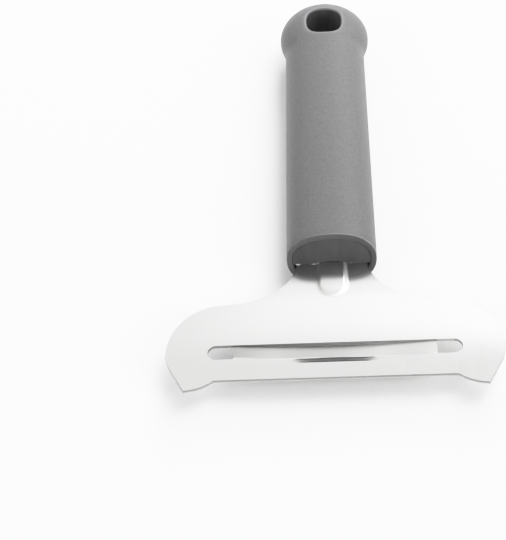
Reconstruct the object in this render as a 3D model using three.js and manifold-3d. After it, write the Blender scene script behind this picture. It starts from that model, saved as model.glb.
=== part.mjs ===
// Cheese slicer: a stamped stainless blade with a cutting slot, in a moulded oval handle.
// Millimetres. X runs across the blade, Y from the blade's front edge to the handle's end, Z up.
// While the pieces are made, y = 0 is the front edge and z = 0 is the handle's axis.
import * as THREE from "three";
import { mergeVertices } from "three/addons/utils/BufferGeometryUtils.js";
import Module from "manifold-3d";

// Blade sheet, and the right half of its outline as [x, y] points and curve handles.
const SHEET = 1.0;
const SHEET_TOP = -1.7;
const SHEET_BOTTOM = SHEET_TOP - SHEET;
const NECK_CURVE = [10.0, 36.8, 16.2, 29.6, 26, 28.1];
const SHOULDER = [33, 27.35];
const CORNER_CURVE = [40.6, 26.5, 46.95, 19, 46.95, 9.7];
const SIDE_CURVE = [46.95, 7.1, 45.7, 4.5];
const TIP = [41.8, -3.3];
const HOOK_CURVE = [37.3, -3.0, 34, -0.35];
const FRONT_CURVE = [33.4, 0, 32.4, 0];

// Slot with round ends, and the cutting lip pressed down between them.
const SLOT_HALF_LENGTH = 35.2;
const SLOT_FRONT = 7.6;
const SLOT_REAR = 12.5;
const LIP_HALF_LENGTH = 28.3;
const LIP_BEND_Y = 5.7;
const LIP_CREASE_Y = 8.3;
const LIP_CREASE_DROP = 0.9;
const LIP_EDGE_DROP = 1.5;
const LIP_EDGE_THICKNESS = 0.15;
const LIP_ROOT = 0.2;

// Tang inside the handle, with its pressed bead and its two peg holes.
const TANG_HALF_WIDTH = 9.85;
const TANG_END_HALF_WIDTH = 7.0;
const TANG_END_Y = 104;
const TANG_CORNER = 3.0;
const NECK_Y = 44;
const PEG_HOLE_RADIUS = 2.6;
const PEG_STATIONS = [68, 90];
const BEAD_HALF_WIDTH = 4.6;
const BEAD_HEIGHT = 0.75;
const BEAD_NOSE_Y = 29.2;
const BEAD_END_Y = 60;
const GROOVE_HALF_WIDTH = 4.1;
const GROOVE_DEPTH = 0.65;

// Handle: a turned profile flattened to an oval, a little square at the mouth. It swells sideways to a
// round end, while its top and bottom run almost level to the middle of that end.
const MOUTH_Y = 42.37;
const MOUTH_LEAN = THREE.MathUtils.degToRad(12.5);
const MOUTH_HALF_WIDTH = 12.99;
const MOUTH_HALF_HEIGHT = 8.6;
const MOUTH_POWER = 2.3;
const NECK_HALF_WIDTH = 12.41;
const BALL_Y = 139.07;
const BALL_HALF_WIDTH = 14.05;
const BALL_HALF_LENGTH = 15.5;
const BALL_HALF_HEIGHT = 8.35;
const BALL_POWER = 2;
const BALL_START_ANGLE = THREE.MathUtils.degToRad(-25.5);
const BALL_START_Y = BALL_Y + BALL_HALF_LENGTH * Math.sin(BALL_START_ANGLE);
const BALL_START_HALF_WIDTH = BALL_HALF_WIDTH * Math.cos(BALL_START_ANGLE);
const BALL_BLEND = 2.6;
const BLEND_START_Y = BALL_START_Y - BALL_BLEND;

// Hanging hole through the ball, a little square in plan, with its two edges rounded.
const HOLE_Y = BALL_Y + 1.15;
const HOLE_HALF_WIDTH = 5.55;
const HOLE_HALF_LENGTH = 6.3;
const HOLE_POWER = 2.6;
const HOLE_LIP = 0.5;
const HOLE_FACE = BALL_HALF_HEIGHT * Math.sqrt(1 - (HOLE_HALF_WIDTH / BALL_HALF_WIDTH) ** 2);

// Bore of the shell, whose wall is thicker above and below, and the two-piece core in it.
const WALL = 1.6;
const WALL_ABOVE = 2.1;
const BORE_END_Y = 120;
const BORE_END_HALF_WIDTH = 10.6;
const BORE_CORNER = 2;
const CORE_RECESS = 0.4;
const CORE_END_Y = 114;
const GAP = 0.3;
const PEG_RADIUS = PEG_HOLE_RADIUS - GAP;
const PEG_REACH = 2.4;

// Lengths that take a cutting form clear of the piece it cuts.
const CLEAR = 1;
const PROFILE_LEAD = 4;
const PAST = 40;

// Facets.
const ROUND_SEGMENTS = 64;
const BODY_SEGMENTS = 8;
const BALL_SEGMENTS = 16;
const BLEND_SEGMENTS = 4;
const CURVE_SEGMENTS = 14;
const HOLE_SEGMENTS = 48;
const PEG_SEGMENTS = 24;
const BEAD_SEGMENTS = 32;
const BEAD_CAP_SEGMENTS = 8;

const wasm = await Module();
wasm.setup();

// A closed three.js geometry as a solid.
function toSolid(geometry) {
  geometry.deleteAttribute("normal");
  geometry.deleteAttribute("uv");
  const merged = mergeVertices(geometry, 1e-4);
  const mesh = new wasm.Mesh({
    numProp: 3,
    vertProperties: merged.attributes.position.array,
    triVerts: new Uint32Array(merged.index.array),
  });
  return new wasm.Manifold(mesh);
}

// A solid as a named mesh.
function toMesh(name, solid, material) {
  const { vertProperties, triVerts } = solid.getMesh();
  const geometry = new THREE.BufferGeometry();
  geometry.setAttribute("position", new THREE.BufferAttribute(vertProperties, 3));
  geometry.setIndex(new THREE.BufferAttribute(triVerts, 1));
  geometry.computeVertexNormals();
  const mesh = new THREE.Mesh(geometry, material);
  mesh.name = name;
  return mesh;
}

// A flat plate of a plan shape, between two heights.
function plate(shape, bottom, top) {
  const depth = top - bottom;
  const geometry = new THREE.ExtrudeGeometry(shape, { depth, bevelEnabled: false });
  geometry.translate(0, 0, bottom);
  return toSolid(geometry);
}

// An upright post.
function post(radius, y, bottom, top) {
  const geometry = new THREE.CylinderGeometry(radius, radius, top - bottom, PEG_SEGMENTS);
  geometry.rotateX(Math.PI / 2);
  geometry.translate(0, y, (top + bottom) / 2);
  return toSolid(geometry);
}

// Everything between two heights, from the mouth back past the core.
function slab(bottom, top) {
  const geometry = new THREE.BoxGeometry(2 * PAST, 2 * PAST + CORE_END_Y, top - bottom);
  geometry.translate(0, CORE_END_Y / 2, (top + bottom) / 2);
  return toSolid(geometry);
}

// Everything in front of the leaning mouth, moved back by a depth.
function aheadOfMouth(depth) {
  const geometry = new THREE.BoxGeometry(2 * PAST, 2 * PAST, 2 * PAST);
  geometry.translate(0, -PAST, 0);
  geometry.rotateX(-MOUTH_LEAN);
  geometry.translate(0, MOUTH_Y + depth, 0);
  return toSolid(geometry);
}

// A shape made of one side's points and their mirror image.
function mirroredShape(side) {
  const right = side.getPoints(CURVE_SEGMENTS);
  const left = right.map((point) => new THREE.Vector2(-point.x, point.y)).reverse();
  return new THREE.Shape([...right, ...left]);
}

// One side of the tang from its end to the neck, grown sideways by a margin.
function tangSide(margin) {
  const endX = TANG_END_HALF_WIDTH + margin;
  const endY = TANG_END_Y + margin;
  const side = new THREE.Path();
  side.moveTo(endX - TANG_CORNER, endY);
  side.quadraticCurveTo(endX, endY, endX, endY - TANG_CORNER);
  side.lineTo(TANG_HALF_WIDTH + margin, NECK_Y);
  return side;
}

// The right half of the blade's outline, from the tang's end round to the front edge.
function bladeSide() {
  const side = tangSide(0);
  side.bezierCurveTo(...NECK_CURVE);
  side.lineTo(...SHOULDER);
  side.bezierCurveTo(...CORNER_CURVE);
  side.quadraticCurveTo(...SIDE_CURVE);
  side.lineTo(...TIP);
  side.quadraticCurveTo(...HOOK_CURVE);
  side.quadraticCurveTo(...FRONT_CURVE);
  return side;
}

// The right half of the slot: a longer cut where the lip is bent out of it, then a round relief end.
function slotSide() {
  const radius = (SLOT_REAR - SLOT_FRONT) / 2;
  const centreX = SLOT_HALF_LENGTH - radius;
  const side = new THREE.Path();
  side.moveTo(LIP_HALF_LENGTH, LIP_BEND_Y);
  side.lineTo(LIP_HALF_LENGTH, SLOT_FRONT);
  side.lineTo(centreX, SLOT_FRONT);
  side.absarc(centreX, SLOT_FRONT + radius, radius, -Math.PI / 2, Math.PI / 2, false);
  return side;
}

// The pressed lip: it bends down, runs back under the slot's rear edge and thins to a cutting edge.
function cuttingLip() {
  const section = new THREE.Shape();
  section.moveTo(LIP_BEND_Y - LIP_ROOT, -SHEET);
  section.lineTo(LIP_BEND_Y, -SHEET);
  section.lineTo(LIP_CREASE_Y, -LIP_CREASE_DROP - SHEET);
  section.lineTo(SLOT_REAR, -LIP_EDGE_DROP - LIP_EDGE_THICKNESS);
  section.lineTo(SLOT_REAR, -LIP_EDGE_DROP);
  section.lineTo(LIP_CREASE_Y, -LIP_CREASE_DROP);
  section.lineTo(LIP_BEND_Y, 0);
  section.lineTo(LIP_BEND_Y - LIP_ROOT, 0);
  const geometry = new THREE.ExtrudeGeometry(section, { depth: 2 * LIP_HALF_LENGTH, bevelEnabled: false });
  // The section is drawn in Y and Z, and runs along X.
  const sectionX = new THREE.Vector3(0, 1, 0);
  const sectionY = new THREE.Vector3(0, 0, 1);
  const run = new THREE.Vector3(1, 0, 0);
  geometry.applyMatrix4(new THREE.Matrix4().makeBasis(sectionX, sectionY, run));
  geometry.translate(-LIP_HALF_LENGTH, 0, SHEET_TOP);
  return toSolid(geometry);
}

// A long low dome with round ends, lying along the tang with its middle plane at a height.
function beadDome(height, halfWidth, rise) {
  const straight = BEAD_END_Y - BEAD_NOSE_Y - 2 * BEAD_HALF_WIDTH;
  const geometry = new THREE.CapsuleGeometry(halfWidth, straight, BEAD_CAP_SEGMENTS, BEAD_SEGMENTS);
  geometry.scale(1, 1, rise / halfWidth);
  geometry.translate(0, (BEAD_NOSE_Y + BEAD_END_Y) / 2, height);
  return toSolid(geometry);
}

// The blade. Its bead is pressed up from below, which leaves a groove on the underside.
function makeBlade() {
  const below = SHEET_BOTTOM - CLEAR;
  const above = SHEET_TOP + CLEAR;
  let blade = plate(mirroredShape(bladeSide()), SHEET_BOTTOM, SHEET_TOP);
  blade = blade.subtract(plate(mirroredShape(slotSide()), below, above));
  for (const y of PEG_STATIONS) blade = blade.subtract(post(PEG_HOLE_RADIUS, y, below, above));
  blade = blade.add(cuttingLip());
  blade = blade.add(beadDome(SHEET_TOP, BEAD_HALF_WIDTH, BEAD_HEIGHT));
  return blade.subtract(beadDome(SHEET_BOTTOM, GROOVE_HALF_WIDTH, GROOVE_DEPTH));
}

// How far a station lies between two others, from 0 to 1.
function between(y, start, end) {
  return THREE.MathUtils.clamp((y - start) / (end - start), 0, 1);
}

// The ball's outline at a station, as a share of its full size.
function ballRound(y) {
  return Math.sqrt(Math.max(0, 1 - ((y - BALL_Y) / BALL_HALF_LENGTH) ** 2));
}

// Half the handle's width: a straight taper, a hollow blend at the neck, then the ball.
function handleHalfWidth(y) {
  if (y > BALL_START_Y) return BALL_HALF_WIDTH * ballRound(y);
  const turn = 2 - Math.sqrt(4 - 3 * between(y, BLEND_START_Y, BALL_START_Y));
  const taper = THREE.MathUtils.lerp(MOUTH_HALF_WIDTH, NECK_HALF_WIDTH, between(y, MOUTH_Y, BLEND_START_Y));
  return taper + (BALL_START_HALF_WIDTH - NECK_HALF_WIDTH) * turn ** 2;
}

// Half its height, almost level to the ball's middle.
function handleHalfHeight(y) {
  if (y > BALL_Y) return BALL_HALF_HEIGHT * ballRound(y);
  return THREE.MathUtils.lerp(MOUTH_HALF_HEIGHT, BALL_HALF_HEIGHT, between(y, MOUTH_Y, BALL_Y));
}

// How far a point of a circle moves out when the circle is squared to a power.
function squareOff(x, z, power) {
  const radius = Math.hypot(x, z);
  return (Math.abs(x / radius) ** power + Math.abs(z / radius) ** power) ** (-1 / power);
}

// A profile turned about Y, then flattened to an oval that goes from the mouth's form to the ball's.
// An inset profile lies under the outer skin by one distance at the sides and another on top.
// The facets start half a step round, so that a flat one lies underneath.
function ovalTurning(points, sideInset, topInset) {
  const geometry = new THREE.LatheGeometry(points, ROUND_SEGMENTS, Math.PI / ROUND_SEGMENTS);
  const position = geometry.attributes.position;
  for (let i = 0; i < position.count; i++) {
    const x = position.getX(i);
    const y = position.getY(i);
    const z = position.getZ(i);
    if (x === 0 && z === 0) continue;
    const along = THREE.MathUtils.smoothstep(y, MOUTH_Y, BALL_Y);
    const swell = squareOff(x, z, THREE.MathUtils.lerp(MOUTH_POWER, BALL_POWER, along));
    const squash = (handleHalfHeight(y) - topInset) / (handleHalfWidth(y) - sideInset);
    position.setX(i, x * swell);
    position.setZ(i, z * swell * squash);
  }
  return toSolid(geometry);
}

// Half of the handle's outline in plan, from the axis ahead of the mouth to the axis at the ball's end.
function handleProfile() {
  const ball = new THREE.EllipseCurve(0, BALL_Y, BALL_HALF_WIDTH, BALL_HALF_LENGTH);
  ball.aStartAngle = BALL_START_ANGLE;
  ball.aEndAngle = Math.PI / 2;
  const ballPoints = ball.getPoints(BALL_SEGMENTS);
  const body = new THREE.Path();
  body.moveTo(0, MOUTH_Y - PROFILE_LEAD);
  body.lineTo(MOUTH_HALF_WIDTH, MOUTH_Y - PROFILE_LEAD);
  for (let i = 0; i <= BODY_SEGMENTS; i++) {
    const x = THREE.MathUtils.lerp(MOUTH_HALF_WIDTH, NECK_HALF_WIDTH, i / BODY_SEGMENTS);
    const y = THREE.MathUtils.lerp(MOUTH_Y, BLEND_START_Y, i / BODY_SEGMENTS);
    body.lineTo(x, y);
  }
  body.quadraticCurveTo(NECK_HALF_WIDTH, BALL_START_Y - BALL_BLEND / 3, BALL_START_HALF_WIDTH, BALL_START_Y);
  const points = body.getPoints(BLEND_SEGMENTS);
  points.push(...ballPoints.slice(1));
  points.at(-1).x = 0;
  return points;
}

// Half of the bore's outline, or of the core's with a gap taken off all round.
function boreProfile(endY, gap) {
  const mouthX = MOUTH_HALF_WIDTH - WALL - gap;
  const endX = BORE_END_HALF_WIDTH - gap;
  const side = new THREE.Path();
  side.moveTo(0, MOUTH_Y - PROFILE_LEAD);
  side.lineTo(mouthX, MOUTH_Y - PROFILE_LEAD);
  side.lineTo(mouthX, MOUTH_Y);
  side.lineTo(endX, endY - BORE_CORNER);
  side.quadraticCurveTo(endX, endY, endX - BORE_CORNER, endY);
  side.lineTo(0, endY);
  return side.getPoints(BLEND_SEGMENTS);
}

// The hanging hole's cutter: a straight bore whose ends flare with a rounded lip.
function hangingHole() {
  const outer = HOLE_HALF_WIDTH + HOLE_LIP;
  const reach = BALL_HALF_HEIGHT + CLEAR;
  const side = new THREE.Path();
  side.moveTo(0, -reach);
  side.lineTo(outer, -reach);
  side.lineTo(outer, -HOLE_FACE);
  side.quadraticCurveTo(HOLE_HALF_WIDTH, -HOLE_FACE, HOLE_HALF_WIDTH, HOLE_LIP - HOLE_FACE);
  side.lineTo(HOLE_HALF_WIDTH, HOLE_FACE - HOLE_LIP);
  side.quadraticCurveTo(HOLE_HALF_WIDTH, HOLE_FACE, outer, HOLE_FACE);
  side.lineTo(outer, reach);
  side.lineTo(0, reach);
  const geometry = new THREE.LatheGeometry(side.getPoints(BLEND_SEGMENTS), HOLE_SEGMENTS);
  const position = geometry.attributes.position;
  for (let i = 0; i < position.count; i++) {
    const x = position.getX(i);
    const z = position.getZ(i);
    if (x === 0 && z === 0) continue;
    const swell = squareOff(x, z, HOLE_POWER);
    position.setX(i, x * swell);
    position.setZ(i, z * swell);
  }
  geometry.scale(1, 1, HOLE_HALF_LENGTH / HOLE_HALF_WIDTH);
  geometry.rotateX(Math.PI / 2);
  geometry.translate(0, HOLE_Y, 0);
  return toSolid(geometry);
}

// The grip: a closed oval tube with the ball end.
function makeShell() {
  let shell = ovalTurning(handleProfile(), 0, 0);
  shell = shell.subtract(ovalTurning(boreProfile(BORE_END_Y, 0), WALL, WALL_ABOVE));
  shell = shell.subtract(hangingHole());
  return shell.subtract(aheadOfMouth(0));
}

// The outer form of the core, set back from the mouth.
function coreBlank() {
  const blank = ovalTurning(boreProfile(CORE_END_Y, GAP), WALL + GAP, WALL_ABOVE + GAP);
  return blank.subtract(aheadOfMouth(CORE_RECESS));
}

// The core's lid: it lies over the tang and the bead, and its pegs pass through the tang.
function makeCoreUpper() {
  const seat = SHEET_TOP + GAP;
  let half = coreBlank().subtract(slab(-PAST, seat));
  half = half.subtract(beadDome(SHEET_TOP, BEAD_HALF_WIDTH + GAP, BEAD_HEIGHT + GAP));
  for (const y of PEG_STATIONS) half = half.add(post(PEG_RADIUS, y, SHEET_BOTTOM - PEG_REACH, seat + CLEAR));
  return half;
}

// The core's base: a pocket for the tang that runs out of its front, and a socket for each peg.
function makeCoreLower() {
  const pocketSide = tangSide(GAP);
  pocketSide.lineTo(TANG_HALF_WIDTH + GAP, NECK_Y - PAST);
  let half = coreBlank().subtract(slab(SHEET_TOP, PAST));
  half = half.subtract(plate(mirroredShape(pocketSide), SHEET_BOTTOM - GAP, SHEET_TOP + CLEAR));
  for (const y of PEG_STATIONS) {
    half = half.subtract(post(PEG_HOLE_RADIUS, y, SHEET_BOTTOM - PEG_REACH - GAP, SHEET_TOP));
  }
  return half;
}

const steel = new THREE.MeshStandardMaterial({ color: 0xe6e6e6, roughness: 0.18, metalness: 1 });
const gripPlastic = new THREE.MeshStandardMaterial({ color: 0x8c8c8e, roughness: 0.5, metalness: 0 });
const corePlastic = new THREE.MeshStandardMaterial({ color: 0x5a5a5c, roughness: 0.6, metalness: 0 });

const slicer = new THREE.Group();
slicer.add(toMesh("blade", makeBlade(), steel));
slicer.add(toMesh("handle_shell", makeShell(), gripPlastic));
slicer.add(toMesh("core_upper", makeCoreUpper(), corePlastic));
slicer.add(toMesh("core_lower", makeCoreLower(), corePlastic));

// The origin goes to the middle of the length and width, at the lowest point.
const box = new THREE.Box3().setFromObject(slicer);
const middle = box.getCenter(new THREE.Vector3());
slicer.position.set(-middle.x, -middle.y, -box.min.z);

export default slicer;
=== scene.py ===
import math
import random

import bmesh
import bpy
from mathutils import Matrix, Vector
from mathutils.geometry import interpolate_bezier


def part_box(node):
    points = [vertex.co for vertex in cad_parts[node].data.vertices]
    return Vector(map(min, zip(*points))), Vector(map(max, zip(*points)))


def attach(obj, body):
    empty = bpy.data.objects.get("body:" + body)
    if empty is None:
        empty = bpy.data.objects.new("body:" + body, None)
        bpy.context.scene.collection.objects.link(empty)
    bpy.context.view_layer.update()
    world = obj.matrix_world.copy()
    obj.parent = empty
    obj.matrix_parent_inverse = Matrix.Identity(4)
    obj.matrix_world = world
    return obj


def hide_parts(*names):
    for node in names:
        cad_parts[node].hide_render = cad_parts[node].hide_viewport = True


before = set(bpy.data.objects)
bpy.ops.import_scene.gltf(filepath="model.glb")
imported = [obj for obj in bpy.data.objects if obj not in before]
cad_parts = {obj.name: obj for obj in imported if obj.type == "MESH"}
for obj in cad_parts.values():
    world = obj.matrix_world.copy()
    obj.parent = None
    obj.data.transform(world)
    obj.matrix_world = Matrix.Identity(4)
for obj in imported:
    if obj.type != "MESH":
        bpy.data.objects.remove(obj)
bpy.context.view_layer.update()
scene = bpy.context.scene

# Whites roll off softly, as in a product photograph with a burnt-out background
lookSet = {
    "white": 2.5,
    # light in the scene and how bright it is shown
    "rollOff": [(0.2, 0.2), (0.4, 0.4), (0.6, 0.6), (0.8, 0.772), (1.0, 0.871), (1.3, 0.945), (1.7, 0.983)],
}
look = scene.view_settings
look.view_transform = "Standard"
look.use_curve_mapping = True
look.curve_mapping.white_level = (lookSet["white"],) * 3
allChannels = look.curve_mapping.curves[3]
for light, shown in lookSet["rollOff"]:
    allChannels.points.new(light / lookSet["white"], shown)
look.curve_mapping.update()

# Pieces are drawn in millimetres, y from the front edge and z from the handle's axis, then put in the frame
tipY = -3.3  # the front corners reach past the front edge
plateTop = -1.7  # upper face of the blade
near = 0.01  # closer than this is the same place
shellLow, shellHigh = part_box("handle_shell")
toFrame = (Matrix.Translation((0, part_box("blade")[0].y - tipY * 0.001, (shellLow.z + shellHigh.z) / 2))
           @ Matrix.Scale(0.001, 4))


def inFrame(x, y, z):
    return toFrame @ Vector((x, y, z))


def hexLinear(code):
    parts = [int(code[i:i + 2], 16) / 255 for i in (1, 3, 5)]
    return tuple(c / 12.92 if c <= 0.04045 else ((c + 0.055) / 1.055) ** 2.4 for c in parts) + (1.0,)


def addNode(tree, kind, inputs=None, **settings):
    node = tree.nodes.new(kind)
    for name, value in settings.items():
        setattr(node, name, value)
    for socket, value in (inputs or {}).items():
        if isinstance(value, bpy.types.NodeSocket):
            tree.links.new(value, node.inputs[socket])
        else:
            node.inputs[socket].default_value = value
    return node


def perMetre(size):
    return 1000 / size  # noise scale for a pattern of this size in millimetres


def startMaterial(name):
    made = bpy.data.materials.new(name)
    made.use_nodes = True
    made.node_tree.nodes.clear()
    return made, made.node_tree


def growLoop(bm, loop, places, closed=True):
    # extrudes a row of vertices and puts the new row where it is told
    pairs = list(zip(loop, loop[1:] + loop[:1] if closed else loop[1:]))
    made = bmesh.ops.extrude_edge_only(bm, edges=[bm.edges.get(pair) for pair in pairs])["geom"]
    fresh = {v for v in made if isinstance(v, bmesh.types.BMVert)}
    row = [next(e.other_vert(v) for e in v.link_edges if e.other_vert(v) in fresh) for v in loop]
    for v, place in zip(row, places):
        v.co = place
    return row


def smoothStep(t):
    t = min(1, max(0, t))
    return t * t * (3 - 2 * t)


def finishPiece(bm, name, materials, slotName, *nodes):
    bmesh.ops.remove_doubles(bm, verts=bm.verts[:], dist=0.0005)
    bmesh.ops.recalc_face_normals(bm, faces=bm.faces[:])
    bmesh.ops.transform(bm, matrix=toFrame, verts=bm.verts[:])
    for face in bm.faces:
        face.smooth = True
    mesh = bpy.data.meshes.new(name)
    bm.to_mesh(mesh)
    bm.free()
    for material in materials:
        mesh.materials.append(material)
    piece = bpy.data.objects.new(name, mesh)
    scene.collection.objects.link(piece)
    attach(piece, "root")
    if nodes:
        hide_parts(*nodes)
    print(name, len(mesh.polygons), "faces")
    return piece


print("materials")
# Cold rolled stainless strip, polished along the handle: near mirror bright, dulled to satin by the mould's
# seal where the tang leaves the handle, which melts the mouth's reflection
polishedSteel, tree = startMaterial("polishedStainlessStrip")
coords = addNode(tree, "ShaderNodeTexCoord").outputs["Object"]
alongY = addNode(tree, "ShaderNodeSeparateXYZ", {"Vector": coords}).outputs["Y"]
# belt lines are about 0.02 mm wide, drawn here at 0.2 mm so that they show
lineScale = (perMetre(0.2), perMetre(14), perMetre(14))
lines = addNode(tree, "ShaderNodeMapping", {"Vector": coords, "Scale": lineScale}).outputs["Vector"]
grain = addNode(tree, "ShaderNodeTexNoise", {"Vector": lines, "Scale": 1.0, "Detail": 3.0}).outputs["Fac"]
smudge = addNode(tree, "ShaderNodeTexNoise", {"Vector": coords, "Scale": perMetre(15),
                                              "Detail": 4.0}).outputs["Fac"]
blur = addNode(tree, "ShaderNodeMath", {0: grain, 1: smudge}, operation="ADD").outputs["Value"]
rough = addNode(tree, "ShaderNodeMapRange", {"Value": blur, "From Min": 0.6, "From Max": 1.4,
                                             "To Min": 0.045, "To Max": 0.085}).outputs["Result"]
sealY = [inFrame(0, y, 0).y for y in (27.5, 34.5)]
sealed = addNode(tree, "ShaderNodeMapRange", {"Value": alongY, "From Min": sealY[0], "From Max": sealY[1],
                                              "To Min": 0.0, "To Max": 0.13},
                 interpolation_type="SMOOTHSTEP").outputs["Result"]
rough = addNode(tree, "ShaderNodeMath", {0: rough, 1: sealed}, operation="ADD").outputs["Value"]
# the polishing belt leaves the bead's right flank satin, and its left flank and the lip's fold a little
belted = addNode(tree, "ShaderNodeAttribute", attribute_name="belted").outputs["Fac"]
rough = addNode(tree, "ShaderNodeMath", {0: belted, 1: 0.3, 2: rough},
                operation="MULTIPLY_ADD").outputs["Value"]
# painted reflection: the last few millimetres before the mouth are greyed, standing in for the mouth's dark
# reflection in the tang
mouthReflectionY = [inFrame(0, y, 0).y for y in (33.5, 37.5)]
mouthReflection = addNode(tree, "ShaderNodeMapRange", {"Value": alongY, "From Min": mouthReflectionY[0], "From Max": mouthReflectionY[1]},
               interpolation_type="SMOOTHSTEP").outputs["Result"]
shade = addNode(tree, "ShaderNodeMix", {"Factor": mouthReflection, "A": hexLinear("#ebebea"), "B": hexLinear("#c4c4c3")},
                data_type="RGBA").outputs["Result"]
bump = addNode(tree, "ShaderNodeBump", {"Height": grain, "Strength": 0.02,
                                        "Distance": 0.00002}).outputs["Normal"]
shader = addNode(tree, "ShaderNodeBsdfPrincipled", {"Base Color": shade, "Metallic": 1.0,
                                                    "Roughness": rough, "Normal": bump})
addNode(tree, "ShaderNodeOutputMaterial", {"Surface": shader.outputs["BSDF"]})

# The lip is ground to an edge across its length: short lines that scatter light to a satin grey
groundSteel, tree = startMaterial("groundStainlessLip")
coords = addNode(tree, "ShaderNodeTexCoord").outputs["Object"]
acrossX = addNode(tree, "ShaderNodeSeparateXYZ", {"Vector": coords}).outputs["X"]
# wheel lines are about 0.05 mm wide, drawn here at 0.25 mm so that they show
lineScale = (perMetre(0.25), perMetre(6), perMetre(6))
lines = addNode(tree, "ShaderNodeMapping", {"Vector": coords, "Scale": lineScale}).outputs["Vector"]
grain = addNode(tree, "ShaderNodeTexNoise", {"Vector": lines, "Scale": 1.0, "Detail": 4.0}).outputs["Fac"]
rough = addNode(tree, "ShaderNodeMapRange", {"Value": grain, "From Min": 0.3, "From Max": 0.7,
                                             "To Min": 0.42, "To Max": 0.5}).outputs["Result"]
ramp = addNode(tree, "ShaderNodeValToRGB", {"Fac": grain})
for stop, (place, code) in zip(ramp.color_ramp.elements, ((0.3, "#c6c6c5"), (0.7, "#cacac9"))):
    stop.position, stop.color = place, hexLinear(code)
# painted light: the lip is darker toward the left and paler toward the right, where the light falls
litFromRightX = [inFrame(x, 0, 0).x for x in (-28, 28)]
litFromRight = addNode(tree, "ShaderNodeMapRange", {"Value": acrossX, "From Min": litFromRightX[0], "From Max": litFromRightX[1],
                                            "To Min": 0.72, "To Max": 1.13}).outputs["Result"]
shade = addNode(tree, "ShaderNodeHueSaturation", {"Color": ramp.outputs["Color"],
                                                  "Value": litFromRight}).outputs["Color"]
bump = addNode(tree, "ShaderNodeBump", {"Height": grain, "Strength": 0.015,
                                        "Distance": 0.00002}).outputs["Normal"]
shader = addNode(tree, "ShaderNodeBsdfPrincipled", {"Base Color": shade, "Metallic": 1.0,
                                                    "Roughness": rough, "Normal": bump})
addNode(tree, "ShaderNodeOutputMaterial", {"Surface": shader.outputs["BSDF"]})

# Blanking leaves the cut edge dull, with drag lines from the upper face down; a torn band below is painted
# paler as light, and painted shade darkens the edge at the mouth
shearedSteel, tree = startMaterial("shearedStainlessEdge")
coords = addNode(tree, "ShaderNodeTexCoord").outputs["Object"]
parts = addNode(tree, "ShaderNodeSeparateXYZ", {"Vector": coords})
# drag lines are about 0.1 mm wide, drawn here at 0.4 mm so that they show
lineScale = (perMetre(0.4), perMetre(0.4), perMetre(3.3))
lines = addNode(tree, "ShaderNodeMapping", {"Vector": coords, "Scale": lineScale}).outputs["Vector"]
grain = addNode(tree, "ShaderNodeTexNoise", {"Vector": lines, "Scale": 1.0, "Detail": 3.0}).outputs["Fac"]
rough = addNode(tree, "ShaderNodeMapRange", {"Value": grain, "From Min": 0.3, "From Max": 0.7,
                                             "To Min": 0.28, "To Max": 0.5}).outputs["Result"]
# the lower band is torn, and its paler colour is painted light that the lower edge catches
tornBandLitZ = [inFrame(0, 0, plateTop - depth).z for depth in (0.55, 0.65)]
tornBandLit = addNode(tree, "ShaderNodeMapRange", {"Value": parts.outputs["Z"], "From Min": tornBandLitZ[0],
                                            "From Max": tornBandLitZ[1]}).outputs["Result"]
shade = addNode(tree, "ShaderNodeMix", {"Factor": tornBandLit, "A": hexLinear("#a0a09f"), "B": hexLinear("#cdcdcc")},
                data_type="RGBA").outputs["Result"]
# painted shade: the tang's cut edge is darkened where it goes into the mouth
mouthEdgeShadeY = [inFrame(0, y, 0).y for y in (36, 38)]
mouthEdgeShade = addNode(tree, "ShaderNodeMapRange", {"Value": parts.outputs["Y"], "From Min": mouthEdgeShadeY[0],
                                             "From Max": mouthEdgeShadeY[1]},
                interpolation_type="SMOOTHSTEP").outputs["Result"]
shade = addNode(tree, "ShaderNodeMix", {"Factor": mouthEdgeShade, "A": shade, "B": hexLinear("#3a3a3a")},
                data_type="RGBA").outputs["Result"]
bump = addNode(tree, "ShaderNodeBump", {"Height": grain, "Strength": 0.2,
                                        "Distance": 0.00004}).outputs["Normal"]
shader = addNode(tree, "ShaderNodeBsdfPrincipled", {"Base Color": shade, "Metallic": 1.0,
                                                    "Roughness": rough, "Normal": bump})
addNode(tree, "ShaderNodeOutputMaterial", {"Surface": shader.outputs["BSDF"]})

# Polypropylene from a spark-eroded mould: soft matt grey, rubbed smoother along the mouth and round the hole,
# with painted highlight and painted shade on it
gripPlastic, tree = startMaterial("sparkTexturedPolypropylene")
coords = addNode(tree, "ShaderNodeTexCoord").outputs["Object"]
alongY = addNode(tree, "ShaderNodeSeparateXYZ", {"Vector": coords}).outputs["Y"]
# spark pits are about 0.05 mm across, drawn here at 0.75 mm so that they show
pits = addNode(tree, "ShaderNodeTexNoise", {"Vector": coords, "Scale": perMetre(0.75), "Detail": 3.0,
                                            "Roughness": 0.6}).outputs["Fac"]
ramp = addNode(tree, "ShaderNodeValToRGB", {"Fac": pits})
for stop, (place, code) in zip(ramp.color_ramp.elements, ((0.3, "#5c5c5d"), (0.7, "#6a6a6b"))):
    stop.position, stop.color = place, hexLinear(code)
# painted light: paler toward the end it hangs by, which the light reaches more brightly
litTowardEndY = [inFrame(0, y, 0).y for y in (42, 139)]
litTowardEnd = addNode(tree, "ShaderNodeMapRange", {"Value": alongY, "From Min": litTowardEndY[0], "From Max": litTowardEndY[1],
                                            "To Min": 0.92, "To Max": 1.12}).outputs["Result"]
shade = addNode(tree, "ShaderNodeHueSaturation", {"Color": ramp.outputs["Color"],
                                                  "Value": litTowardEnd}).outputs["Color"]
# painted highlight: the paler colour where rubbed stands in for light catching the mouth's rim and the hole's
# lip; the smoother finish is wear
rubbedHighlight = addNode(tree, "ShaderNodeAttribute", attribute_name="rubbedHighlight").outputs["Fac"]
shade = addNode(tree, "ShaderNodeMix", {"Factor": rubbedHighlight, "A": shade, "B": hexLinear("#8a8a8b")},
                data_type="RGBA").outputs["Result"]
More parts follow.
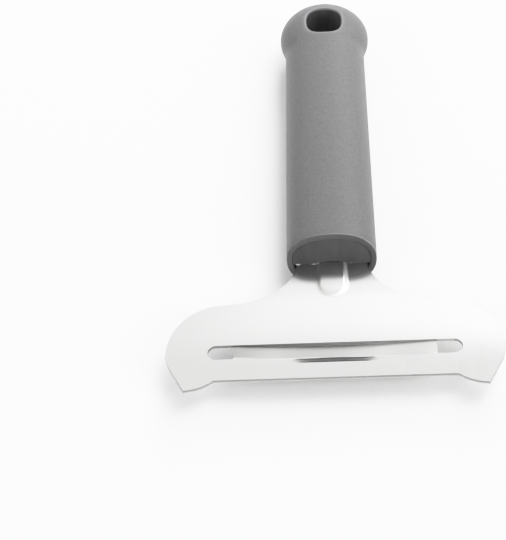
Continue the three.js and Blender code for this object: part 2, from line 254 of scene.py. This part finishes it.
# painted shade: the mouth's end face is darkened, and more so toward the right
endFaceShade = addNode(tree, "ShaderNodeAttribute", attribute_name="endFaceShade").outputs["Fac"]
shade = addNode(tree, "ShaderNodeMix", {"Factor": endFaceShade, "A": shade, "B": hexLinear("#525253")},
                data_type="RGBA").outputs["Result"]
rough = addNode(tree, "ShaderNodeMapRange", {"Value": rubbedHighlight, "From Min": 0.0, "From Max": 1.0,
                                             "To Min": 0.48, "To Max": 0.34}).outputs["Result"]
bump = addNode(tree, "ShaderNodeBump", {"Height": pits, "Strength": 0.25,
                                        "Distance": 0.0001}).outputs["Normal"]
shader = addNode(tree, "ShaderNodeBsdfPrincipled", {"Base Color": shade, "Roughness": rough, "Normal": bump})
addNode(tree, "ShaderNodeOutputMaterial", {"Surface": shader.outputs["BSDF"]})

# The insert comes from a plain tool: darker than the grip, with faint flow marks
corePlastic, tree = startMaterial("plainMouldedInsert")
coords = addNode(tree, "ShaderNodeTexCoord").outputs["Object"]
# flow marks are about 4 mm wide and 22 mm tall
flowScale = (perMetre(4), perMetre(4), perMetre(22))
marks = addNode(tree, "ShaderNodeMapping", {"Vector": coords, "Scale": flowScale}).outputs["Vector"]
flow = addNode(tree, "ShaderNodeTexNoise", {"Vector": marks, "Scale": 1.0, "Detail": 3.0}).outputs["Fac"]
ramp = addNode(tree, "ShaderNodeValToRGB", {"Fac": flow})
for stop, (place, code) in zip(ramp.color_ramp.elements, ((0.3, "#414142"), (0.7, "#535354"))):
    stop.position, stop.color = place, hexLinear(code)
rough = addNode(tree, "ShaderNodeMapRange", {"Value": flow, "From Min": 0.3, "From Max": 0.7,
                                             "To Min": 0.52, "To Max": 0.62}).outputs["Result"]
bump = addNode(tree, "ShaderNodeBump", {"Height": flow, "Strength": 0.15,
                                        "Distance": 0.0001}).outputs["Normal"]
shader = addNode(tree, "ShaderNodeBsdfPrincipled", {"Base Color": ramp.outputs["Color"],
                                                    "Roughness": rough, "Normal": bump})
addNode(tree, "ShaderNodeOutputMaterial", {"Surface": shader.outputs["BSDF"]})

# Flash is thin enough to let light through, so where it stands proud it reads paler than the insert
flashPlastic, tree = startMaterial("squeezedFlash")
coords = addNode(tree, "ShaderNodeTexCoord").outputs["Object"]
lumps = addNode(tree, "ShaderNodeTexNoise", {"Vector": coords, "Scale": perMetre(0.5),
                                             "Detail": 2.0}).outputs["Fac"]
proud = addNode(tree, "ShaderNodeAttribute", attribute_name="proud").outputs["Fac"]
pale = addNode(tree, "ShaderNodeMath", {0: lumps, 1: proud, 2: proud},
               operation="MULTIPLY_ADD").outputs["Value"]
ramp = addNode(tree, "ShaderNodeValToRGB", {"Fac": pale})
for stop, (place, code) in zip(ramp.color_ramp.elements, ((0.1, "#5a5a5b"), (1.0, "#bcbcbc"))):
    stop.position, stop.color = place, hexLinear(code)
bump = addNode(tree, "ShaderNodeBump", {"Height": lumps, "Strength": 0.3,
                                        "Distance": 0.0001}).outputs["Normal"]
shader = addNode(tree, "ShaderNodeBsdfPrincipled", {"Base Color": ramp.outputs["Color"], "Roughness": 0.4,
                                                    "Normal": bump})
addNode(tree, "ShaderNodeOutputMaterial", {"Surface": shader.outputs["BSDF"]})

# White sweep paper, faintly uneven
paper, tree = startMaterial("sweepPaper")
coords = addNode(tree, "ShaderNodeTexCoord").outputs["Object"]
fibre = addNode(tree, "ShaderNodeTexNoise", {"Vector": coords, "Scale": perMetre(1.1),
                                             "Detail": 3.0}).outputs["Fac"]
ramp = addNode(tree, "ShaderNodeValToRGB", {"Fac": fibre})
for stop, code in zip(ramp.color_ramp.elements, ("#f3f3f3", "#f7f7f7")):
    stop.color = hexLinear(code)
shader = addNode(tree, "ShaderNodeBsdfPrincipled", {"Base Color": ramp.outputs["Color"], "Roughness": 0.5})
addNode(tree, "ShaderNodeOutputMaterial", {"Surface": shader.outputs["BSDF"]})


print("blade")
bladeSet = {
    "sheet": 1.0, "edgeRadius": 0.12, "edgeStrip": 0.45, "longEdge": 6.0, "longCuts": 9,
    # a face whose normal rises less than this is a wall of the sheet, and in radians, an edge that turns more
    # is a corner to round, or splits the shading where two finishes meet
    "wallRise": 0.3, "cornerAngle": 1.2, "sharpAngle": 0.2,
    # right half from the tang's end to the middle of the front edge: a knot, or two handles and a knot
    "outline": [[(0, 104)], [(4, 104)], [(5.66, 104), (7, 102.66), (7, 101)], [(9.85, 44)],
                [(10.0, 36.8), (16.2, 29.6), (26, 28.1)], [(33, 27.35)],
                [(40.6, 26.5), (46.949, 19), (46.949, 9.7)], [(46.949, 7.97), (46.53, 6.23), (45.7, 4.5)],
                [(41.8, tipY)], [(38.8, -3.1), (36.2, -2.12), (34, -0.35)],
                [(33.6, -0.12), (33.07, 0), (32.4, 0)], [(0, 0)]],
    # right half of the cut that frees the lip, round at its end
    "slot": [[(0, 12.5)], [(32.75, 12.5)], [(34.1, 12.5), (35.2, 11.4), (35.2, 10.05)],
             [(35.2, 8.7), (34.1, 7.6), (32.75, 7.6)], [(28.3, 7.6)], [(23.5, 7.6), (18.0, 5.5), (13.0, 5.5)],
             [(0, 5.5)]],
    "slotTurns": 20, "slotRear": 13.0, "slotHalf": 36.0,  # just past the cut's rear and its ends
    # rows of the lip: y, drop at its ends, drop in the middle
    "lip": [(6.2, 0, -0.248), (6.9, 0, -0.497), (7.6, 0, -0.745), (7.85, -0.012, -0.82), (8.1, -0.03, -0.873),
            (8.4, -0.05, -0.917), (9.4, -0.14, -1.035), (11.0, -0.29, -1.215), (12.45, -0.43, -1.38)],
    "lipHalf": 28.3, "lipRoot": 5.5, "lipFold": 7.6, "lipCrease": 8.0, "lipEnd": 12.45, "lipEdge": 0.15,
    "lipCuts": 23, "foldSatin": 0.35,
    "beadHalf": 4.6, "beadNose": 29.2, "beadEnd": 60.0, "beadHeight": 0.65, "beadRows": 20,
    "beadFlank": 0.33, "beadCrown": 0.08, "beadRunOut": 6.0, "beltLeft": 0.25, "beltBlend": 5.0,
    "pegRadius": 2.6, "pegStations": (68, 90), "pegSides": 32,
}
ground, sheared = 1, 2  # places in the blade's list of materials, after the polished one
quarterRound = 0.5523  # a quarter circle's handles, as a share of its radius


def traceHalf(bm, steps, turns=10):
    last = None
    for step in steps:
        knot = (*step[-1], 0)
        if len(step) == 1:
            places = [knot]
        else:
            places = interpolate_bezier(last.co, (*step[0], 0), (*step[1], 0), knot, turns)[1:]
        for place in places:
            vert = bm.verts.new(place)
            if last:
                bm.edges.new((last, vert))
            last = vert


def beadSpine(s):
    # the middles of the bead's two round ends
    return s["beadNose"] + s["beadHalf"], s["beadEnd"] - s["beadHalf"]


def drawBlank(bm, s):
    # flat blank with its cut, the bead's outline and the pegs' holes, and a narrow strip along each edge
    traceHalf(bm, s["outline"])
    traceHalf(bm, s["slot"], s["slotTurns"])
    nose, end = beadSpine(s)
    r, k = s["beadHalf"], s["beadHalf"] * quarterRound
    traceHalf(bm, [[(0, nose - r)], [(k, nose - r), (r, nose - k), (r, nose)], [(r, end)],
                   [(r, end + k), (k, end + r), (0, end + r)]])
    bmesh.ops.mirror(bm, geom=bm.verts[:] + bm.edges[:], axis="X", merge_dist=0.001)
    for y in s["pegStations"]:
        bmesh.ops.create_circle(bm, segments=s["pegSides"], radius=s["pegRadius"],
                                matrix=Matrix.Translation((0, y, 0)))
    root = [e for e in bm.edges
            if all(abs(v.co.y - s["lipRoot"]) < near and abs(v.co.x) < s["lipHalf"] for v in e.verts)]
    bmesh.ops.subdivide_edges(bm, edges=root, cuts=s["lipCuts"])
    longEdges = [e for e in bm.edges if e.calc_length() > s["longEdge"]]
    bmesh.ops.subdivide_edges(bm, edges=longEdges, cuts=s["longCuts"])
    bmesh.ops.triangle_fill(bm, edges=bm.edges[:], use_beauty=True, normal=(0, 0, 1))
    bmesh.ops.inset_region(bm, faces=bm.faces[:], thickness=s["edgeStrip"], use_boundary=True,
                           use_even_offset=True)


def pressBead(bm, s, belted):
    # the bead is pressed up in rings from its own outline, with a flank and a low crown
    nose, end = beadSpine(s)
    row = [v for v in bm.verts if v.is_boundary and abs(v.co.x) < s["beadHalf"] + near
           and s["beadNose"] - near < v.co.y < s["beadEnd"] + near]
    row.sort(key=lambda v: math.atan2(v.co.y - (nose + end) / 2, v.co.x))
    flat = [v.co.copy() for v in row]
    for i in range(1, s["beadRows"] + 1):
        t = i / s["beadRows"]
        height = (1 - s["beadCrown"]) * smoothStep(t / s["beadFlank"]) + s["beadCrown"] * (1 - (1 - t) ** 2)
        places = []
        for p in flat:
            spine = Vector((0, min(end, max(nose, p.y)), 0))
            place = spine + (p - spine) * (1 - t)
            # steep along the sides, dying away to the nose
            place.z = s["beadHeight"] * height * smoothStep((place.y - s["beadNose"]) / s["beadRunOut"])
            places.append(place)
        row = growLoop(bm, row, places)
        satin = max(0, 1 - abs(2 * t / s["beadFlank"] - 1))  # most at half the flank's height
        for v in row:
            right = smoothStep(0.5 + v.co.x / s["beltBlend"])
            v[belted] = satin * (s["beltLeft"] + (1 - s["beltLeft"]) * right)
    bmesh.ops.remove_doubles(bm, verts=row, dist=0.002)


def bendLip(bm, s, belted):
    # the lip grows from its root row by row, bending down under the cut
    row = sorted((v for v in bm.verts if v.is_boundary and s["lipRoot"] - near < v.co.y < s["lipFold"] + near
                  and abs(v.co.x) < s["lipHalf"] + near), key=lambda v: v.co.x)
    # the fold is as steep all along and narrows to nothing at the lip's ends
    folds = [(v.co.x, (s["lipFold"] - v.co.y) / (s["lipFold"] - s["lipRoot"])) for v in row]
    for pair in zip(row, row[1:]):
        bm.edges.get(pair).smooth = False
    free = set()
    for y, atEnds, atMiddle in s["lip"]:
        # even along most of the crease, bowed along the cutting edge
        bowed = min(1, max(0, (y - s["lipCrease"]) / (s["lipEnd"] - s["lipCrease"])))
        places = []
        for x, even in folds:
            share = even + (math.cos(math.pi * x / 2 / s["lipHalf"]) - even) * bowed
            pulled = s["lipFold"] - (s["lipFold"] - y) * even if y < s["lipFold"] else y
            places.append((x, pulled, atEnds + (atMiddle - atEnds) * share))
        row = growLoop(bm, row, places, closed=False)
        for v in row:
            v[belted] = s["foldSatin"] if y < s["lipFold"] else 0
        if y > s["lipCrease"]:
            free.update(row)
    for face in bm.faces:
        if all(v in free for v in face.verts):
            face.material_index = ground
    bmesh.ops.remove_doubles(bm, verts=bm.verts[:], dist=0.002)


def thickenSheet(bm, s):
    # full gauge everywhere, thinned to the ground edge along the lip
    lower = bmesh.ops.extrude_face_region(bm, geom=bm.faces[:] + bm.edges[:] + bm.verts[:],
                                          use_keep_orig=True)["geom"]
    for v in (g for g in lower if isinstance(g, bmesh.types.BMVert)):
        past = (v.co.y - s["lipCrease"]) / (s["lipEnd"] - s["lipCrease"]) if v.co.z < -near else 0
        v.co.z -= s["sheet"] + (s["lipEdge"] - s["sheet"]) * min(1, max(0, past))
    bmesh.ops.recalc_face_normals(bm, faces=bm.faces[:])
    bm.normal_update()


def edgeFinish(s, face):
    # the cut's rear edge is ground bright, as it faces the slice, and the rest stays as it was sheared
    middle = face.calc_center_median()
    return ground if s["lipEnd"] < middle.y < s["slotRear"] and abs(middle.x) < s["slotHalf"] else sheared


def roundEdges(bm, s):
    for face in bm.faces:
        if abs(face.normal.z) < s["wallRise"]:
            face.material_index = edgeFinish(s, face)
    corners = [e for e in bm.edges if e.is_manifold and e.calc_face_angle() > s["cornerAngle"]
               and not all(abs(v.co.y - s["lipEnd"]) < near for v in e.verts)]
    cut = bmesh.ops.bevel(bm, geom=corners, offset=s["edgeRadius"], offset_type="OFFSET", segments=2,
                          profile=0.5, affect="EDGES", material=-1, clamp_overlap=True)
    for face in cut["faces"]:
        face.material_index = edgeFinish(s, face)
    for edge in bm.edges:
        finishes = {face.material_index for face in edge.link_faces}
        if len(finishes) > 1 and edge.calc_face_angle(0) > s["sharpAngle"]:
            edge.smooth = False


def makeBlade(s):
    bm = bmesh.new()
    belted = bm.verts.layers.float.new("belted")
    drawBlank(bm, s)
    pressBead(bm, s, belted)
    bendLip(bm, s, belted)
    thickenSheet(bm, s)
    roundEdges(bm, s)
    bmesh.ops.translate(bm, vec=(0, 0, plateTop), verts=bm.verts[:])
    steels = [polishedSteel, groundSteel, shearedSteel]
    piece = finishPiece(bm, "bladeSheet", steels, "stainless_steel", "blade")
    piece.modifiers.new("evenNormals", "WEIGHTED_NORMAL").keep_sharp = True


makeBlade(bladeSet)


print("handle")
handleSet = {
    "mouthY": 42.37, "mouthLean": 12.5, "mouthHalf": 12.99, "mouthHigh": 8.594, "mouthPower": 2.3,
    "neckHalf": 12.41, "neckY": 126.0, "neckSteps": 8, "blend": 2.6, "blendPower": 1.8,
    "ballY": 139.07, "ballHalf": 14.05, "ballLength": 15.4995, "ballHigh": 8.35, "ballStart": -25.5,
    "ballSteps": 28,
    "holeY": 140.22, "holeHalf": 5.55, "holeLength": 6.3, "holePower": 2.6,
    "holeLip": 0.7, "holeLipDrop": 1.3, "holeLipSteps": 5,
    "wall": 1.6, "wallAbove": 2.1, "boreEndY": 120.0, "boreEndHalf": 10.6,
    "boreStations": (0.02, 0.3, 0.6, 0.9, 1.0),  # shares of the bore's length
    # rounding of the mouth's outer corner, as depth and distance in from the outside, and of its inner
    # corner, as depth and distance left to the bore
    "rimDepth": 0.3, "rimOutside": [(0.14, 0.03), (0.04, 0.12), (0, 0.28)],
    "rimInside": [(0, 0.45), (0.04, 0.27), (0.12, 0.12), (0.24, 0.03), (0.36, 0)],
    "around": 36, "rings": 18, "stations": 26,
    # wear and painted highlight round the hole stay this close to its middle and to its lip's roll, and at
    # the mouth are this deep; rubHighlightFrom and endTo are shares of the mouth's oval, where 1 is its
    # outline
    "rubHighlightReach": 9.0, "rubHighlightWide": 0.5, "rubHighlightDepth": 0.2, "rubHighlightFrom": 0.93, "endTo": 0.97, "endShade": 0.65,
}
mouthSlope = math.tan(math.radians(handleSet["mouthLean"]))
holeMiddle = Vector((0, handleSet["holeY"]))


def ballMeets(s):
    # place and half width where the ball leaves the straight grip
    turn = math.radians(s["ballStart"])
    return s["ballY"] + s["ballLength"] * math.sin(turn), s["ballHalf"] * math.cos(turn)


def sectionAt(s, y):
    # half width, half height and squareness of the handle at one station
    start, startHalf = ballMeets(s)
    if y < start - s["blend"]:
        t = (y - s["mouthY"]) / (start - s["blend"] - s["mouthY"])
        half = s["mouthHalf"] + (s["neckHalf"] - s["mouthHalf"]) * t
    elif y < start:
        half = s["neckHalf"] + (startHalf - s["neckHalf"]) * (1 - (start - y) / s["blend"]) ** s["blendPower"]
    else:
        half = s["ballHalf"] * math.sqrt(max(0, 1 - ((y - s["ballY"]) / s["ballLength"]) ** 2))
    # the top runs almost level to the ball's middle
    along = min(1, max(0, (y - s["mouthY"]) / (s["ballY"] - s["mouthY"])))
    high = s["mouthHigh"] + (s["ballHigh"] - s["mouthHigh"]) * along
    if y > s["ballY"]:
        high *= half / s["ballHalf"]
    return half, high, s["mouthPower"] + (2 - s["mouthPower"]) * smoothStep(along)


def boreOval(s, y, gap=0):
    # the same for the bore, or for an oval that stays a gap inside it
    half, high, power = sectionAt(s, y)
    t = (y - s["mouthY"]) / (s["boreEndY"] - s["mouthY"])
    inner = s["mouthHalf"] - s["wall"] + (s["boreEndHalf"] - s["mouthHalf"] + s["wall"]) * t
    return inner - gap, inner - half + high + s["wall"] - s["wallAbove"] - gap, power


def ovalPoint(half, high, power, turn):
    c, n = math.cos(turn), math.sin(turn)
    return (math.copysign(abs(c) ** (2 / power), c) * half, math.copysign(abs(n) ** (2 / power), n) * high)


def ballPlan(s, turns):
    # plan of the ball: across the neck, then round the end
    start = ballMeets(s)[0]
    steps = s["neckSteps"]
    side = [s["neckY"] + (start - s["neckY"]) * i / steps for i in range(1, steps)]
    side = [Vector((sectionAt(s, y)[0], y)) for y in side]
    for i in range(s["ballSteps"] + 1):
        turn = math.radians(s["ballStart"] + (90 - s["ballStart"]) * i / s["ballSteps"])
        side.append(Vector((s["ballHalf"] * math.cos(turn), s["ballY"] + s["ballLength"] * math.sin(turn))))
    half, high, power = sectionAt(s, s["neckY"])
    plan = [Vector((ovalPoint(half, high, power, turn)[0], s["neckY"])) for turn in turns]
    return plan + [Vector((-p.x, p.y)) for p in side[:-1]] + side[::-1]


def lipReach(s, p):
    # from the hole's middle to the outer edge of its rolled lip, toward a point of the plan
    toward = (p - holeMiddle).normalized()
    across, along = abs(toward.x) / s["holeHalf"], abs(toward.y) / s["holeLength"]
    return (across ** s["holePower"] + along ** s["holePower"]) ** (-1 / s["holePower"]) + s["holeLip"]


def onBall(s, p, reach):
    # the ball's surface this far from the hole's middle, toward a point of the plan
    place = holeMiddle + (p - holeMiddle).normalized() * reach
    half, high, power = sectionAt(s, place.y)
    across = min(1, abs(place.x) / max(half, 1e-6))
    return Vector((*place, high * max(0, 1 - across ** power) ** (1 / power)))


def growBall(bm, s, turns):
    plan = ballPlan(s, turns)
    # the top of the ball in rings from the hole's lip to its outline, closer together where it turns under
    lip = bmesh.ops.create_circle(bm, segments=len(plan), radius=s["holeHalf"])["verts"]
    for v, p in zip(lip, plan):
        v.co = onBall(s, p, lipReach(s, p))
    row = lip
    for i in range(1, s["rings"]):
        t = 1 - (1 - i / s["rings"]) ** 2
        reaches = [lipReach(s, p) + ((p - holeMiddle).length - lipReach(s, p)) * t for p in plan]
        row = growLoop(bm, row, [onBall(s, p, reach) for p, reach in zip(plan, reaches)])
    # the last ring takes the neck's section, then lies in the middle plane
    section = sectionAt(s, s["neckY"])
    levels = [ovalPoint(*section, turn)[1] for turn in turns] + [0] * (len(plan) - len(turns))
    row = growLoop(bm, row, [(*p, z) for p, z in zip(plan, levels)])
    neck = row[:len(turns)]

    # the lip rolls over into the hole's wall, which runs to the middle plane
    probe = 0.05  # a short step outward gives the slope at the lip
    row = lip
    for i in range(1, s["holeLipSteps"] + 1):
        t = i / s["holeLipSteps"]
        places = []
        for p in plan:
            outer = onBall(s, p, lipReach(s, p))
            step = outer - onBall(s, p, lipReach(s, p) + probe)
            corner = outer + step * (s["holeLip"] / probe)
            lowered = corner - Vector((0, 0, s["holeLip"] * s["holeLipDrop"]))
            places.append(outer * (1 - t) ** 2 + corner * 2 * t * (1 - t) + lowered * t * t)
        row = growLoop(bm, row, places)
    outside = set(bm.faces)
    for t in (0.5, 1.0):
        row = growLoop(bm, row, [(v.co.x, v.co.y, v.co.z * (1 - t)) for v in row])
    for face in set(bm.faces) - outside:
        face.material_index = 1  # painted shade: the wall takes the darker insert plastic, standing in for the shade inside the hole
    return neck


def growGrip(bm, s, row, turns):
    # the grip in stations to the mouth, round its rim, and back along the bore
    reach = s["mouthY"] + s["rimDepth"] - s["neckY"]
    stops = [(s["neckY"] + reach * i / s["stations"], 0) for i in range(1, s["stations"] + 1)]
    stops += [(s["mouthY"] + depth, inset) for depth, inset in s["rimOutside"]]
    stops += [(s["mouthY"] + depth, s["wall"] - left) for depth, left in s["rimInside"]]
    for y, inset in stops:
        half, high, power = sectionAt(s, y)
        above = inset * s["wallAbove"] / s["wall"]
        points = [ovalPoint(half - inset, high - above, power, turn) for turn in turns]
        row = growLoop(bm, row, [(x, y, z) for x, z in points], closed=False)
    for t in s["boreStations"]:
        y = s["mouthY"] + (s["boreEndY"] - s["mouthY"]) * t
        points = [ovalPoint(*boreOval(s, y), turn) for turn in turns]
        row = growLoop(bm, row, [(x, y, z) for x, z in points], closed=False)
    growLoop(bm, row, [(v.co.x, v.co.y, 0) for v in row], closed=False)


def markWearAndPaintedLight(bm, s):
    rubbedHighlight = bm.verts.layers.float.new("rubbedHighlight")
    endFaceShade = bm.verts.layers.float.new("endFaceShade")
    for v in bm.verts:
        away = (v.co.xy - holeMiddle).length
        # wear and painted highlight along the hole's rolled lip
        if away < s["rubHighlightReach"]:
            lipMiddle = lipReach(s, v.co.xy) - s["holeLip"] / 2
            v[rubbedHighlight] = max(0, 1 - abs(away - lipMiddle) / s["rubHighlightWide"])
        # the mouth's outer corner is rubbed, and painted highlight makes it pale on top and on the right,
        # where the light falls
        across, up = v.co.x / s["mouthHalf"], v.co.z / s["mouthHigh"]
        oval = abs(across) ** s["mouthPower"] + abs(up) ** s["mouthPower"]
        if v.co.y < s["mouthY"] + s["rubHighlightDepth"] and oval > s["rubHighlightFrom"]:
            v[rubbedHighlight] = smoothStep(across + up)
        # painted shade across the mouth's end face
        if v.co.y < s["mouthY"] + s["rimDepth"] and oval < s["endTo"]:
            v[endFaceShade] = s["endShade"] + (1 - s["endShade"]) * across


def makeHandle(s):
    bm = bmesh.new()
    turns = [math.pi * i / s["around"] for i in range(s["around"] + 1)]
    neck = growBall(bm, s, turns)
    growGrip(bm, s, neck, turns)
    bmesh.ops.mirror(bm, geom=bm.verts[:] + bm.edges[:] + bm.faces[:], axis="Z", merge_dist=0.0005)
    bmesh.ops.dissolve_degenerate(bm, dist=0.0005, edges=bm.edges[:])
    markWearAndPaintedLight(bm, s)
    # the mouth leans, and the lean dies away to the neck
    for v in bm.verts:
        if v.co.y < s["neckY"]:
            v.co.y += v.co.z * mouthSlope * (s["neckY"] - v.co.y) / (s["neckY"] - s["mouthY"])
    finishPiece(bm, "handleGrip", [gripPlastic, corePlastic], "grip_plastic", "handle_shell")


makeHandle(handleSet)


print("insert")
insertSet = {
    "recess": 0.4, "fit": 0.06, "tangFit": 0.02, "stations": (60, 85, 114), "arc": 48, "chord": 40,
    "corner": 0.15, "archHalf": 4.9, "archHigh": 0.8, "archSteep": 1.6,
}
insertFront = handleSet["mouthY"] + insertSet["recess"]
tangTop = plateTop + insertSet["tangFit"]
tangUnder = plateTop - bladeSet["sheet"] - insertSet["tangFit"]


def seatOutline(s, y, level, side):
    # loop of one insert half: round the bore, then back along the tang
    half, high, power = boreOval(handleSet, y, s["fit"])
    low = math.asin(min(1, abs(level) / high) ** (power / 2))
    first, last = (-low, math.pi + low) if side > 0 else (-math.pi + low, -low)
    loop = [ovalPoint(half, high, power, first + (last - first) * i / s["arc"]) for i in range(s["arc"] + 1)]
    startX, endX = loop[-1][0], loop[0][0]
    for i in range(1, s["chord"]):
        x = startX + (endX - startX) * i / s["chord"]
        # the upper half arches over the bead
        arch = s["archHigh"] * smoothStep(s["archSteep"] * (1 - abs(x) / s["archHalf"]))
        loop.append((x, level + (arch if side > 0 else 0)))
    return loop


def makeInsert(s, name, level, side, node):
    bm = bmesh.new()
    loop = seatOutline(s, insertFront, level, side)
    row = bmesh.ops.create_circle(bm, segments=len(loop), radius=1, cap_ends=True)["verts"]
    for v, (x, z) in zip(row, loop):
        v.co = (x, insertFront + z * mouthSlope, z)
    rim = [bm.edges.get(pair) for pair in zip(row, row[1:] + row[:1])]
    for y in s["stations"]:
        row = growLoop(bm, row, [(x, y, z) for x, z in seatOutline(s, y, level, side)])
    bmesh.ops.contextual_create(bm, geom=row)
    bmesh.ops.recalc_face_normals(bm, faces=bm.faces[:])
    bmesh.ops.bevel(bm, geom=rim[:s["arc"]], offset=s["corner"], offset_type="OFFSET", segments=2,
                    profile=0.5, affect="EDGES", material=-1)
    piece = finishPiece(bm, name, [corePlastic], "core_plastic", node)
    piece.modifiers.new("evenNormals", "WEIGHTED_NORMAL").keep_sharp = True


makeInsert(insertSet, "insertUpper", tangTop, 1, "core_upper")
makeInsert(insertSet, "insertLower", tangUnder, -1, "core_lower")


print("flash")
flashSet = {
    # lumps squeezed out along the tang: place across, height
    "lumps": [(-10.0, 0.36), (-9.4, 0.28), (-5.6, 0.15), (-5.0, 0.22), (-4.0, 0.3), (4.2, 0.12), (5.4, 0.14)],
    "lumpHalf": 0.6, "lumpUneven": (0.8, 1.1), "low": 0.035, "lowUneven": (0.5, 1.3),
    # its section from the front foot over to the rear one: forward and up, as shares of its height
    "section": [(0.8, 0), (0.45, 0.75), (-0.05, 1.0), (-0.3, 0.6), (-0.3, 0)],
    "sunk": 0.03, "proud": 0.3, "seed": 7,
}


def makeFlash(s):
    bm = bmesh.new()
    rng = random.Random(s["seed"])
    foot = []
    for x, z in seatOutline(insertSet, insertFront, tangTop, 1)[insertSet["arc"] + 1:]:
        lump = max(h * max(0, 1 - abs(x - at) / s["lumpHalf"]) for at, h in s["lumps"])
        height = s["low"] * rng.uniform(*s["lowUneven"]) + lump * rng.uniform(*s["lumpUneven"])
        foot.append((x, insertFront + z * mouthSlope, z - s["sunk"], height))
    rows = [[(x, y - h * forward, z + h * up) for x, y, z, h in foot] for forward, up in s["section"]]
    row = [bm.verts.new(place) for place in rows[0]]
    for pair in zip(row, row[1:]):
        bm.edges.new(pair)
    for places in rows[1:] + rows[:1]:
        row = growLoop(bm, row, places, closed=False)
    bmesh.ops.remove_doubles(bm, verts=bm.verts[:], dist=0.0005)
    bmesh.ops.holes_fill(bm, edges=[e for e in bm.edges if e.is_boundary], sides=8)
    proud = bm.verts.layers.float.new("proud")
    for v in bm.verts:
        height = min(foot, key=lambda f: abs(f[0] - v.co.x))[3]
        v[proud] = min(1, max(0, height - s["low"]) / s["proud"])
    finishPiece(bm, "insertFlash", [flashPlastic], "core_plastic")


makeFlash(flashSet)


print("stage")
# angles in degrees, sizes in metres
stageSet = {
    "floorHalf": 3.0,
    "lens": 126.67, "azimuth": 3.43, "elevation": 47.0, "roll": 4.42,
    "distance": 0.55643, "target": (-0.02313, -0.02818, -0.00015),
    "lampSideways": 10.0, "lampHeight": 24.0, "lampDistance": 0.6, "lampSide": 0.18, "lampWatts": 2.60,
    # the bright part of the backdrop, whose upper edge the plate mirrors across its middle: an axis of the
    # direction, where the light starts and stops changing along it, and the light at each
    "backdrop": [("Z", 0.752, 0.760, 1.0, 0.0), ("Z", 0.66, 0.75, 0.0, 1.0), ("Y", 0.5, 0.6, 0.0, 1.0),
                 ("X", -0.084, 0.095, 0.10, 1.22)],
    # soft panels round the room: right of straight back, height, strength, and where it starts to fade and
    # where it ends, from its middle
    "panels": [(0, 12, 0.22, 14, 39), (45, 12, 0.28, 14, 39), (0, 45, 0.39, 14, 39), (45, 45, 0.41, 14, 39),
               (315, 45, 0.42, 14, 39), (57, 65, 2.53, 8, 24), (90, 68, 0.40, 8, 24), (45, 25, 0.24, 8, 24),
               (120, 25, 5.90, 8, 24), (240, 25, 5.60, 8, 24), (0, 8, 0.53, 8, 24), (45, 50, 3.29, 8, 24),
               (0, 90, 0.56, 8, 24), (84, 20, 0.40, 8, 26)],
    "roomLight": 0.22,
}


def direction(sideways, height):
    # sideways is to the right of straight back
    turn, rise = math.radians(sideways), math.radians(height)
    return Vector((math.sin(turn) * math.cos(rise), math.cos(turn) * math.cos(rise), math.sin(rise)))


def makeFloor(s):
    bm = bmesh.new()
    bmesh.ops.create_grid(bm, x_segments=2, y_segments=2, size=s["floorHalf"])
    mesh = bpy.data.meshes.new("sweepFloor")
    bm.to_mesh(mesh)
    bm.free()
    mesh.materials.append(paper)
    floor = bpy.data.objects.new("sweepFloor", mesh)
    scene.collection.objects.link(floor)


def makeCamera(s):
    back = direction(180 - s["azimuth"], s["elevation"])
    level = direction(90 - s["azimuth"], 0)
    up = back.cross(level)
    rollCos, rollSin = math.cos(math.radians(s["roll"])), math.sin(math.radians(s["roll"]))
    right, above = level * rollCos - up * rollSin, level * rollSin + up * rollCos
    turned = Matrix((right, above, back)).transposed()
    camera = bpy.data.objects.new("photoCamera", bpy.data.cameras.new("photoCamera"))
    camera.data.lens = s["lens"]
    place = Vector(s["target"]) + back * s["distance"]
    camera.matrix_world = Matrix.Translation(place) @ turned.to_4x4()
    scene.collection.objects.link(camera)
    scene.camera = camera


def makeLamp(s):
    lamp = bpy.data.lights.new("backWindow", "AREA")
    lamp.shape = "RECTANGLE"
    lamp.size = lamp.size_y = s["lampSide"]
    lamp.energy = s["lampWatts"]
    away = direction(s["lampSideways"], s["lampHeight"])
    holder = bpy.data.objects.new("backWindow", lamp)
    holder.location = away * s["lampDistance"]
    holder.rotation_euler = away.to_track_quat("Z", "Y").to_euler()
    holder.visible_glossy = False
    scene.collection.objects.link(holder)


def makeRoom(s):
    world = bpy.data.worlds.new("studioRoom")
    scene.world = world
    world.use_nodes = True
    tree = world.node_tree
    tree.nodes.clear()
    coords = addNode(tree, "ShaderNodeTexCoord").outputs["Generated"]
    parts = addNode(tree, "ShaderNodeSeparateXYZ", {"Vector": coords})
    glow = 1.0
    for axis, start, stop, low, high in s["backdrop"]:
        fade = addNode(tree, "ShaderNodeMapRange", {"Value": parts.outputs[axis], "From Min": start,
                                                    "From Max": stop, "To Min": low, "To Max": high})
        glow = addNode(tree, "ShaderNodeMath", {0: fade.outputs["Result"], 1: glow},
                       operation="MULTIPLY").outputs["Value"]
    for sideways, height, strength, core, rim in s["panels"]:
        facing = addNode(tree, "ShaderNodeVectorMath", {0: coords, 1: direction(sideways, height)},
                         operation="DOT_PRODUCT")
        panel = addNode(tree, "ShaderNodeMapRange", {"Value": facing.outputs["Value"],
                                                     "From Min": math.cos(math.radians(rim)),
                                                     "From Max": math.cos(math.radians(core)),
                                                     "To Min": 0.0, "To Max": strength},
                        interpolation_type="SMOOTHSTEP")
        glow = addNode(tree, "ShaderNodeMath", {0: glow, 1: panel.outputs["Result"]},
                       operation="ADD").outputs["Value"]
    glow = addNode(tree, "ShaderNodeMath", {0: glow, 1: s["roomLight"]}, operation="ADD").outputs["Value"]
    sky = addNode(tree, "ShaderNodeBackground", {"Color": (1, 1, 1, 1), "Strength": glow})
    addNode(tree, "ShaderNodeOutputWorld", {"Surface": sky.outputs["Background"]})


makeFloor(stageSet)
makeCamera(stageSet)
makeLamp(stageSet)
makeRoom(stageSet)
